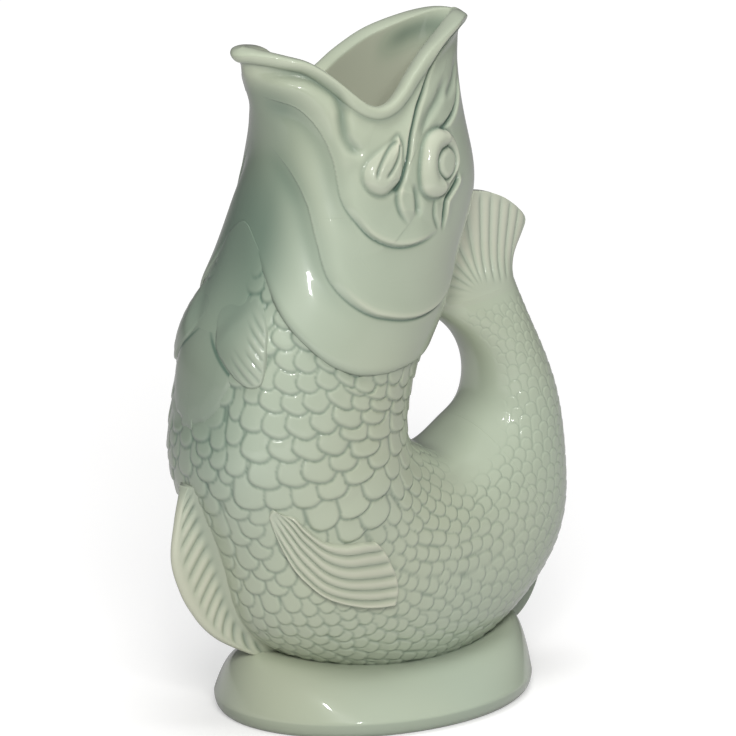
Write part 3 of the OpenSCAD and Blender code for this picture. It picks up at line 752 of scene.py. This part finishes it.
def face_relief(s, th, p):
    """Height, pooling with painted shade, and the depth inside the eye, the leaf and the cheek
    plate.
    """
    h, pool_and_painted_light = head_relief(s, th, p)
    eye = depth_inside(s, th, p, EYE, 10)
    pupil = depth_inside(s, th, p, PUPIL, 10)
    inside = ramp(eye, -0.1, 0.7)
    deep = np.clip(eye, 0, 12)
    ring = deep + np.clip(-pupil, 0, 12) + 1e-6
    roll = np.sin(math.pi * (deep / ring)) ** 0.75 * np.minimum(3, 0.52 * ring)
    h = h * (1 - 0.7 * ramp(eye, -4, 4)) - 0.35 * bump(eye + 0.7, 0.8)
    h += 0.25 * inside + np.where((eye > 0) & (pupil < 0), roll, 0)
    h += np.where(pupil > 0, 1.7 * arc(1 - np.clip(pupil / 2.4, 0, 1)), 0)
    pool_and_painted_light += 0.26 * bump(eye + 0.4, 0.7) + 0.6 * bump(pupil, 0.55) * inside - 0.06 * inside

    leaf = depth_inside(s, th, p, LEAF, 9)
    firm = np.maximum(ramp(s, 2.35, 0.25), ramp(th, 79, 5))
    h -= (0.1 + 0.35 * firm) * bump(leaf + 0.6, 0.9)
    h += 2.3 * np.sqrt(ease((leaf + 0.4) / (5.4 - 1.6 * firm)))
    pool_and_painted_light += (0.04 + 0.22 * firm) * bump(leaf + 0.4, 0.7)
    for slit in (LEAF_SLIT_1, LEAF_SLIT_2):
        d, t, _ = slit.near(p, 6)
        w = taper(t, 0.08, 0.2)
        h -= w * 0.95 * bump(d, 0.7)
        pool_and_painted_light += w * 0.5 * bump(d, 0.55)

    d, t, side = CREASE_2.near(p, 20)
    gate = np.minimum(np.minimum((th - 46), (132 - th)) * 0.6, 10)
    cheek = np.minimum(np.minimum(np.where(side > 0, d, -d) + 0.6, 14 - d), gate)
    cheek = np.minimum(np.minimum(cheek, (s - 3.05) * 18), (gill_at(th) - 0.16 - s) * 18)
    return h, pool_and_painted_light, eye, leaf, cheek


# how far the head sinks under a laid-on piece, and the piece under the head outside its outline
HAND_OVER = 0.8


def head_height(s, th, p):
    """The face's height and pooling, and how far the head sinks where a laid-on piece covers it."""
    h, pool_and_painted_light, eye, leaf, cheek = face_relief(s, th, p)
    own = np.maximum(np.maximum(eye, leaf), cheek) - 0.4
    return h, pool_and_painted_light, HAND_OVER * ease(own / 1.2)


def slab(top, bottom, pool_and_painted_light):
    """Closed mesh of a sheet with a top and an underside: its points, faces and tone."""
    pts = np.concatenate([top, bottom[:, ::-1]], axis=1)
    m, n = pts.shape[:2]
    j = np.arange(n // 2 - 1)
    first, final = (np.stack([k + j, k + j + 1, k + n - 2 - j, k + n - 1 - j], -1)
                    for k in (0, (m - 1) * n))
    return (pts, [wall_quads(m, n, False), first[:, ::-1], final],
            np.concatenate([pool_and_painted_light, pool_and_painted_light[:, ::-1]], axis=1))


def pair(name, slot, top, bottom, pool_and_painted_light):
    """The same piece on the left and, mirrored, on the right."""
    pts, faces, tone = slab(top, bottom, pool_and_painted_light)
    for side, flip in (("_left", 1), ("_right", MIRROR)):
        new_piece(name + side, [name + side], slot, pts * flip, faces, tone)


def face_piece(name, slot, box, size, which):
    """A piece laid on over a box of stations and angles, with its depth as face_relief has it."""
    s, th = np.meshgrid(np.linspace(box[0], box[1], size[0]),
                        np.linspace(box[2], box[3], size[1]), indexing="ij")
    p, n, _ = surface(s, th)
    values = face_relief(s, th, p)
    h, pool_and_painted_light, own = values[0], values[1], values[which]
    lift = h - HAND_OVER * ease((0.4 - own) / 1.2) - 3 * ease((-1.2 - own) / 3)
    # never so low that it comes through the inner wall
    lift = np.maximum(lift, -3.6)
    pair(name, slot, p + n * lift[..., None], p - n * 4.2, pool_of(h, pool_and_painted_light, 40, 0.5))


# ---- fins
def coons(low, high, root, trail, rows, cols):
    """Patch of [station, angle] between four edge curves."""
    u, v = np.linspace(0, 1, rows), np.linspace(0, 1, cols)
    a, b = along(low, u * (len(low) - 1)), along(high, u * (len(high) - 1))
    c, d = along(root, v * (len(root) - 1)), along(trail, v * (len(trail) - 1))
    u, v = u[:, None, None], v[None, :, None]
    flat = ((1 - u) * (1 - v) * a[0] + (1 - u) * v * b[0] + u * (1 - v) * a[-1] + u * v * b[-1])
    return (1 - v) * a[:, None] + v * b[:, None] + (1 - u) * c[None] + u * d[None] - flat


# underside of the laid-on fins, below the skin
FIN_BASE = 1.6


def pectoral_pieces():
    low = [(7.46, 44), (7.82, 45), (8.18, 49), (8.5, 55), (8.78, 60), (9.08, 66), (9.3, 70),
           (9.6, 77)]
    high = [(7.46, 52), (7.52, 58), (7.68, 61), (7.94, 67), (8.18, 76), (8.4, 86), (8.6, 91)]
    root = [(7.46, 44), (7.36, 48), (7.46, 52)]
    trail = [(9.6, 77), (9.5, 84), (9.3, 89), (8.94, 91.5), (8.6, 91)]
    rows, cols, ribs = 170, 130, 6
    st = coons(low, high, root, trail, rows, cols)
    p, n, _ = surface(st[..., 0], st[..., 1])
    u = np.linspace(0, 1, rows)[:, None]
    v = np.linspace(0, 1, cols)[None, :]
    wide = np.linalg.norm(p[:, -1] - p[:, 0], axis=1)[:, None]
    long = np.linalg.norm(np.diff(p[:, cols // 2], axis=0), axis=1).sum()
    rim = np.minimum(np.minimum(v, 1 - v) * wide, np.minimum(u, 1 - u) * long)
    rib = np.abs(np.sin(math.pi * (ribs * v ** 0.94 + 0.12 * np.sin(3 * u)))) ** 0.7
    h = -0.7 + 2.9 * ease(rim / 1.3) - 0.4 * ramp(rim, 1, 3)
    h -= 1.7 * (1 - ease(u / 0.3)) * ease(rim / 1.3)
    inner = ramp(rim, 0.7, 1.2) * ramp(u, 0.02, 0.16)
    h += inner * (0.85 * rib - 0.6)
    pool_and_painted_light = (inner * (0.6 * (1 - rib) ** 1.2 - 0.2 * rib) - 0.12 * bump(rim - 1.2, 0.8)
            + 0.3 * bump(rim, 0.5))
    pair("pectoral_fin", "raised_glaze", p + n * h[..., None], p - n * FIN_BASE, pool_and_painted_light)


FIN_LOBE = Trace([
    (3.3, 5), (3.46, 9), (3.66, 13), (3.94, 20), (4.24, 29), (4.58, 37), (4.92, 41), (5.32, 43),
    (5.56, 42), (5.6, 36), (5.5, 29), (5.32, 22), (5.06, 13), (4.84, 6), (4.66, 2), (4.4, 0.6),
    (3.4, 0.4)], 420, True)
THROAT_LOBE = Trace([
    (4.3, -10), (4.3, 20), (5, 27), (5.56, 27.5), (5.78, 25), (5.98, 21.5), (6.13, 16), (6.2, 10),
    (6.2, -10)], 420, True)


def pelvic_pieces():
    s, th = np.meshgrid(np.linspace(3.36, 6.32, 250), np.linspace(-4, 46, 140), indexing="ij")
    p, n, _ = surface(s, th)
    one, two = (np.clip(depth_inside(s, th, p, lobe, 16), -3, 16)
                for lobe in (FIN_LOBE, THROAT_LOBE))
    # the fin stands up at its free end and melts into the throat at its root
    melt = ramp(s, 3.6, 1.5) * (0.25 + 0.75 * ease((th - 8) / 14 + (s - 4.7) / 0.7))
    top_1 = (-0.8 + (0.5 + 1.3 * melt) * ease((one + 0.2) / (4.2 - 3 * melt))
             + 1.2 * melt * np.sqrt(ease(one / 9)))
    top_2 = -0.8 + 1.2 * ramp(two, -0.2, 3.6) + 0.6 * ease(two / 8) - 1.7 * fall(s, 4.3, 1.2)
    # never so low that it comes through the fin's underside
    h = np.maximum(np.maximum(top_1, top_2), -1.3)
    rib = np.abs(np.sin(math.pi * ((th - 26) * 0.62 - (s - 4.9) * 21) / 3.2)) ** 0.9
    inner = ramp(one, 0.7, 1.2) * fall(one, 5, 3.5) * ramp(s, 4.25, 0.5) * (top_1 >= top_2)
    inner = inner * ramp(th, 22, 9)
    h += inner * (0.36 * rib - 0.22)
    # the painted shade of the throat and round the gill cover's point runs on over the fin
    pool_and_painted_light = inner * (0.3 * (1 - rib) - 0.08 * rib) + throat_pool_and_shade(s, th) + gill_pool_and_shade(s, th) + 0.1
    pool_and_painted_light += 0.6 * bump(one + 0.4, 0.6) * (two > 0.5) * ramp(s, 4.7, 0.4)
    lift = h - 0.12 * ease(-th / 4)
    pair("pelvic_fin", "raised_glaze", p + n * lift[..., None], p - n * FIN_BASE, pool_and_painted_light)


def blade_piece(name, node, slot, span, shares, reach, thick, edge_thick, ridges, rows):
    """A fin on the outer rail over a span of stations: its two faces may carry slanting ridges."""
    start, end = span
    u = np.linspace(0, 1, rows)[:, None]
    f = np.linspace(-0.12, 1, 56)[None, :]
    r = section(start + (end - start) * u[:, 0])
    d = unit(np.stack([r[:, 0] - r[:, 2], r[:, 1] - r[:, 3]], -1))
    tall = reach * along(shares, u[:, 0] * (len(shares) - 1))
    mid = np.stack([r[:, 0], r[:, 1]], -1)[:, None] + d[:, None] * (tall[:, None] * f)[..., None]
    fc = np.clip(f, 0, 1)
    half = (thick + (edge_thick - thick) * fc ** 0.7) / 2
    pool_and_painted_light = 0.4
    if ridges:
        wave = np.abs(np.sin(math.pi * (ridges * u - 1.9 * fc))) ** 0.8
        band = ramp(fc, 0.06, 0.2) * fall(fc, 0.62, 0.22) * ease((1 - u) * 10) * ease(u * 10)
        half = half + 0.7 * (wave - 0.8) * band
        half = half + 2.2 * np.exp(-np.maximum(f, -0.1) * tall[:, None] / 1.8) * (1 - 0.3 * u)
        pool_and_painted_light = (band * (0.46 - 0.72 * wave) - 0.22 * ramp(fc, 0.7, 0.2)
                + 0.35 * bump(fc * tall[:, None] - 2, 2.5))
    # rounded outer edge
    half = half * np.sqrt(np.clip(1 - ((fc - 0.86) / 0.14).clip(0, 1) ** 2 * 0.96, 0, 1))
    half = half * np.ones_like(mid[..., 0])
    near, far = (np.stack([mid[..., 0], y, mid[..., 1]], -1) for y in (-half, half))
    new_piece(name, [node], slot, *slab(near, far, pool_and_painted_light * np.ones_like(half)))


# The fan: its outer edge in shares of length and height, the half widths from tail to free end,
# and the point in millimetres from which its ridges spread
FAN_EDGE = np.array([[0.378, 0.592], [0.378, 0.604], [0.383, 0.62], [0.392, 0.634],
                     [0.405, 0.65], [0.4165, 0.667], [0.4155, 0.683]]) * [JUG_L, JUG_H]
FAN_WIDTHS = [1, 0.72, 0.5, 0.38, 0.32, 0.28, 0.25]
FAN_X, FAN_Z = 43, 144
FAN_LEAST = 2.2


def fan_piece():
    rows, cols = 150, 400
    v = np.linspace(0, 1, rows)
    turn = np.arange(cols) * 360 / cols
    th = np.radians(turn)
    e = along(FAN_EDGE, v * 6)
    # the near edge follows the back of the head, from the tail's end upwards
    at = 5.2 + (3.42 - 5.2) * v
    reach = (at - rim_at(180)) / (gill_at(180) - rim_at(180))
    back = skin(at, 180, 1.6 * ramp(reach, 0.45, 0.55) - 0.5)
    end = section(np.array(float(LAST)))
    near = back[:, [0, 2]]
    near = near + (end[2:4] - near[0]) * (1 - ease(v / 0.16))[:, None]
    corner = np.clip((v - 0.86) / 0.14, 0, 1)
    e = e - unit(e - near) * (3.4 * (1 - np.sqrt(1 - 0.985 * corner ** 2)))[:, None]
    w = np.maximum(FAN_LEAST, end[4] * along(FAN_WIDTHS, v * 6))
    c, q = (np.sign(t) * np.abs(t) ** (2 / end[5]) for t in (np.cos(th), np.sin(th)))
    lift = 0.016 * JUG_H * v[:, None] ** 2 * (1 - c[None] ** 2)
    d = e - near
    side = unit(np.stack([-d[:, 1], d[:, 0]], -1))
    mid = ((e + near)[:, None] / 2 + d[:, None] / 2 * c[None, :, None]
           + side[:, None] * lift[..., None])
    dx, dz = mid[..., 0] - FAN_X, mid[..., 1] - FAN_Z
    main = dx / (1 + dz / 70) / 3.1
    fork = np.degrees(np.arctan2(-dx, np.maximum(dz, -30))) / 15
    ridge = np.abs(np.sin(math.pi * (np.where(dx > 0, main, -fork) + 0.5))) ** 0.6
    grow = (ease((np.hypot(dx, dz) - 3) / 7) * ease((1 - np.abs(c[None])) / 0.08)
            * ramp(v[:, None], 0.02, 0.12))
    grow = (grow * np.where(dx > 0, ramp(dz, 1, 7), 1)
            * (0.15 + 0.85 * ease((1 - v[:, None]) / 0.1)))
    half = w[:, None] + grow * 0.8 * (ridge - 0.85)
    pts = np.stack([mid[..., 0], -half * q[None], mid[..., 1]], -1)
    # painted light: the glaze is made paler over the upper half of the fan
    pool_and_painted_light = grow * (0.5 * (1 - ridge) - 0.12 * ridge) + 0.1 - 0.26 * ease(v[:, None] / 0.5)
    # under the fan its rows follow the end of the tail and dive into it
    s_low = np.linspace(MEET - 0.16, LAST, 18)[:-1, None] * np.ones((1, cols))
    low, low_n, _ = surface(s_low, np.broadcast_to(turn[None], s_low.shape))
    low = low - low_n * (0.9 * ease((MEET - s_low) / 0.12))[..., None]
    pts = np.concatenate([low, pts])
    pool_and_painted_light = np.concatenate([np.full_like(s_low, 0.1), pool_and_painted_light])
    new_piece("tail_fan_piece", ["tail_fan"], "raised_glaze", pts, tube_faces(len(pts), cols), pool_and_painted_light)


# The foot: half lengths along x and y, the height of its widest line, the rounding below that,
# and how far in the ring that stands on the table ends
FOOT_X, FOOT_Y, FOOT_WIDEST, FOOT_ROUND, FOOT_RING = 61.45, 48.4, 6, 3.9, 8.9
# the foot's line on the belly, outside and inside: middle and half length of x, half width
SEATS = np.array([[0.028, 0.312, 0.303], [0.028, 0.262, 0.21]]) * [JUG_L, JUG_L, BELLY_W]
FOOT_COLS, FOOT_ROWS, ROUND_ROWS = 420, 70, 14


def foot_piece():
    ph = np.radians(np.arange(FOOT_COLS) * 360 / FOOT_COLS)

    def seat(v, out):
        """The belly's underside, moved out, from the outer line (v = 0) to the inner one (1)."""
        o = SEATS[0] * (1 - v) + SEATS[1] * v
        x = o[0] + o[1] * np.cos(ph)
        y = -o[2] * np.sin(ph)
        lo, hi = np.full(FOOT_COLS, 8.2), np.full(FOOT_COLS, 12)
        for _ in range(24):
            m = (lo + hi) / 2
            r = section(m)
            c = np.maximum(0, 1 - (np.abs(y) / (r[:, 4] + out)) ** r[:, 5]) ** (1 / r[:, 5])
            px, pz = across_rails(r, out, c)
            hi = np.where(px < x, hi, m)
            lo = np.where(px < x, m, lo)
        return np.stack([x, y, pz], -1)

    def edge(inset, z):
        return np.stack([(FOOT_X - inset) * np.cos(ph), -(FOOT_Y - inset) * np.sin(ph),
                         np.full(FOOT_COLS, z)], -1)

    top, low, rows = seat(0, 0.15), edge(0, FOOT_WIDEST), []
    full = 2 + 2.3 * np.cos(ph) ** 2
    for k in np.linspace(0, 1, FOOT_ROWS):
        row = top * (1 - k) + low * k
        row[:, 2] = FOOT_WIDEST + (top[:, 2] - FOOT_WIDEST) * (1 - k ** full)
        rows.append(row)
    for k in np.radians(np.linspace(0, 90, ROUND_ROWS)[1:]):
        rows.append(edge(FOOT_ROUND * (1 - math.cos(k)), FOOT_WIDEST * (1 - math.sin(k))))
    # the ground ring, the hollow above it and the belly's underside, which closes the ring
    ring, under = edge(FOOT_RING, 0), seat(1, 0.15)
    rows.append(ring)
    for a, z in ((0.12, 0.22), (0.36, 0.5), (0.66, 0.8)):
        row = ring + (under - ring) * a
        row[:, 2] = under[:, 2] * z
        rows.append(row)
    rows += [seat(v, -0.8) for v in (1, 0.66, 0.33)]
    pts = np.array(rows)
    tone = np.zeros(pts.shape[:2])
    tone[:FOOT_ROWS] = (0.6 * np.exp(-np.arange(FOOT_ROWS) / 2.5) - 0.02)[:, None]
    tone[FOOT_ROWS:FOOT_ROWS + ROUND_ROWS] = 0.22
    new_piece("foot", ["foot_plinth"], "body_glaze", pts, [wall_quads(len(pts), FOOT_COLS, True)],
              tone)


# ---- glaze, light and camera
def fill(shader, inputs):
    """Sets inputs of a shader node, named with an underscore for each space."""
    for key, value in inputs.items():
        shader.inputs[key.replace("_", " ")].default_value = value


def node(tree, kind, **inputs):
    new = tree.nodes.new("ShaderNode" + kind)
    fill(new, inputs)
    return new


def map_range(tree, value, start, stop, low=0, high=1):
    """Takes a value from start..stop to low..high, held at the ends."""
    new = node(tree, "MapRange", From_Min=start, From_Max=stop, To_Min=low, To_Max=high)
    tree.links.new(value, new.inputs["Value"])
    return new.outputs["Result"]


def painted(name, **inputs):
    """A new material, its node tree and its shader with the given inputs."""
    mat = bpy.data.materials.new(name)
    mat.use_nodes = True
    shader = mat.node_tree.nodes["Principled BSDF"]
    fill(shader, inputs)
    return mat, mat.node_tree, shader


def glaze(name, plain, deep, thin):
    """Celadon glaze: deeper and bluer where it pools and where shade is painted, paler where it
    runs thin over edges and where light is painted.
    """
    mat, tree, shader = painted(name, Roughness=0.28, Specular_IOR_Level=0.4, Coat_Weight=0.9,
                                Coat_Roughness=0.045)

    def mix(fac, a, b):
        new = node(tree, "Mix")
        new.data_type = "RGBA"
        new.clamp_factor = True
        tree.links.new(fac, new.inputs[0])
        for sock, val in ((new.inputs[6], a), (new.inputs[7], b)):
            if isinstance(val, tuple):
                sock.default_value = val + (1,)
            else:
                tree.links.new(val, sock)
        return new.outputs[2]

    pool_and_painted_light = node(tree, "Attribute")
    pool_and_painted_light.attribute_name = "pool_and_painted_light"
    cloud = node(tree, "TexNoise", Scale=12, Detail=1)
    tree.links.new(node(tree, "TexCoord").outputs["Object"], cloud.inputs["Vector"])
    warm = tuple(a * b for a, b in zip(plain, (1.02, 1, 0.95)))
    cool = tuple(a * b for a, b in zip(plain, (0.95, 0.99, 1)))
    base = mix(map_range(tree, cloud.outputs["Fac"], 0.3, 0.7), warm, cool)
    base = mix(map_range(tree, pool_and_painted_light.outputs["Fac"], -0.02, -0.6), base, thin)
    base = mix(map_range(tree, pool_and_painted_light.outputs["Fac"], 0.03, 1.1), base, deep)
    tree.links.new(base, shader.inputs["Base Color"])
    return mat


def srgb(*colour):
    """A colour of 0 to 255 a channel, as the screen shows it, in the renderer's own scale."""
    return tuple(((c / 255 + 0.055) / 1.055) ** 2.4 for c in colour)


GLAZES = {name: glaze(name, srgb(*plain), srgb(*deep), srgb(*thin)) for name, plain, deep, thin in (
    ("body_glaze", (172, 181, 163), (90, 112, 99), (204, 206, 187)),
    ("raised_glaze", (177, 184, 167), (92, 113, 100), (210, 208, 190)))}
KEEL_SHARES = [0.1, 0.55, 0.95, 1, 0.84, 0.62, 0.38, 0.22]
WEB_SHARES = [0.6, 0.95, 1, 0.8, 0.42, 0.05]

head_piece()
belly_piece()
tail_piece()
face_piece("eye", "raised_glaze", (1.72, 3.06, 91, 127), (130, 160), 2)
face_piece("jaw_leaf", "raised_glaze", (1.72, 2.9, 61, 90.5), (110, 120), 3)
face_piece("cheek_plate", "body_glaze", (3, 5.06, 42, 136), (150, 260), 4)
pectoral_pieces()
pelvic_pieces()
blade_piece("keel", "keel_fin", "raised_glaze", (7.05, 9.4), KEEL_SHARES, 17.5, 4.4, 3.2, 14,
            220)
blade_piece("web", "rear_web", "body_glaze", (11.34, 12.16), WEB_SHARES, 11.5, 6, 4, 0, 60)
fan_piece()
foot_piece()

scene = bpy.context.scene
scene.view_settings.view_transform = "Standard"


def put(name, data, where=(0, 0, 0), look_at=None):
    """Links a new object into the scene, turned towards a point where one is given."""
    ob = bpy.data.objects.new(name, data)
    scene.collection.objects.link(ob)
    ob.location = where
    if look_at:
        away = Vector(look_at) - ob.location
        ob.rotation_euler = away.to_track_quat("-Z", "Y").to_euler()
    return ob


CAMERA_AT, CAMERA_AIM = (-1.3781, -1.966, 0.7866), (-0.0025, 0, 0.1229)
lens = bpy.data.cameras.new("camera")
lens.lens, lens.sensor_width = 341, 36
scene.camera = put("camera", lens, CAMERA_AT, CAMERA_AIM)

FLOOR_REACH = 6.0
WHITE = (1, 1, 1)
floor_mesh = bpy.data.meshes.new("floor")
floor_mesh.from_pydata([(x * FLOOR_REACH, y * FLOOR_REACH, 0)
                        for x, y in ((-1, -1), (1, -1), (1, 1), (-1, 1))], [], [(0, 1, 2, 3)])
floor = put("floor", floor_mesh)
floor_mat, tree, matte = painted("floor", Base_Color=(0.6, 0.6, 0.6, 1), Roughness=0.9,
                                 Emission_Color=WHITE + (1,))
# the floor glows for the camera alone, more so further back, so that it stays white
away, glow, seen = node(tree, "VectorMath"), node(tree, "Math"), node(tree, "LightPath")
away.operation, glow.operation = "LENGTH", "MULTIPLY"
tree.links.new(node(tree, "TexCoord").outputs["Object"], away.inputs[0])
tree.links.new(seen.outputs["Is Camera Ray"], glow.inputs[0])
tree.links.new(map_range(tree, away.outputs["Value"], 0.1, 1.1, 0.46, 0.72), glow.inputs[1])
tree.links.new(glow.outputs[0], matte.inputs["Emission Strength"])
floor_mesh.materials.append(floor_mat)
floor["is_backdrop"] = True

# the world lights the jug weakly and is white to look at
world = bpy.data.worlds.new("world")
scene.world = world
world.use_nodes = True
sky = world.node_tree
back = sky.nodes["Background"]
back.inputs["Color"].default_value = (0.97, 0.98, 1, 1)
seen = node(sky, "LightPath")
sky.links.new(map_range(sky, seen.outputs["Is Camera Ray"], 0, 1, 0.12, 1),
              back.inputs["Strength"])

# Lamps: name, place, size in metres, watts, colour, and whether the glaze mirrors it
LAMPS = [
    ("key", (-1.2, -1.8, 1.45), (0.8, 0.8), 44.5, (1, 0.98, 0.95), False),
    ("top", (-0.1, -0.2, 2.4), (1.1, 1.1), 30, WHITE, False),
    ("sparkle", (-0.62, -1.78, 1.2), (0.12, 0.22), 4.8, WHITE, True),
    ("sparkle_small", (-1.02, -1.52, 1.66), (0.1, 0.14), 2.2, WHITE, True)]
for name, where, size, power, colour, mirrored in LAMPS:
    lamp = bpy.data.lights.new(name, "AREA")
    lamp.shape = "RECTANGLE"
    lamp.size, lamp.size_y = size
    lamp.energy = power
    lamp.color = colour
    put(name, lamp, where, (0, 0, 0.12)).visible_glossy = mirrored

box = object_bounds()


def plain_list(v):
    if isinstance(v, (list, tuple)):
        return [plain_list(x) for x in v]
    try:
        return [plain_list(x) for x in list(v)]
    except TypeError:
        return float(v)


{"cad": plain_list(CAD_BOX), "visual": plain_list(box)}
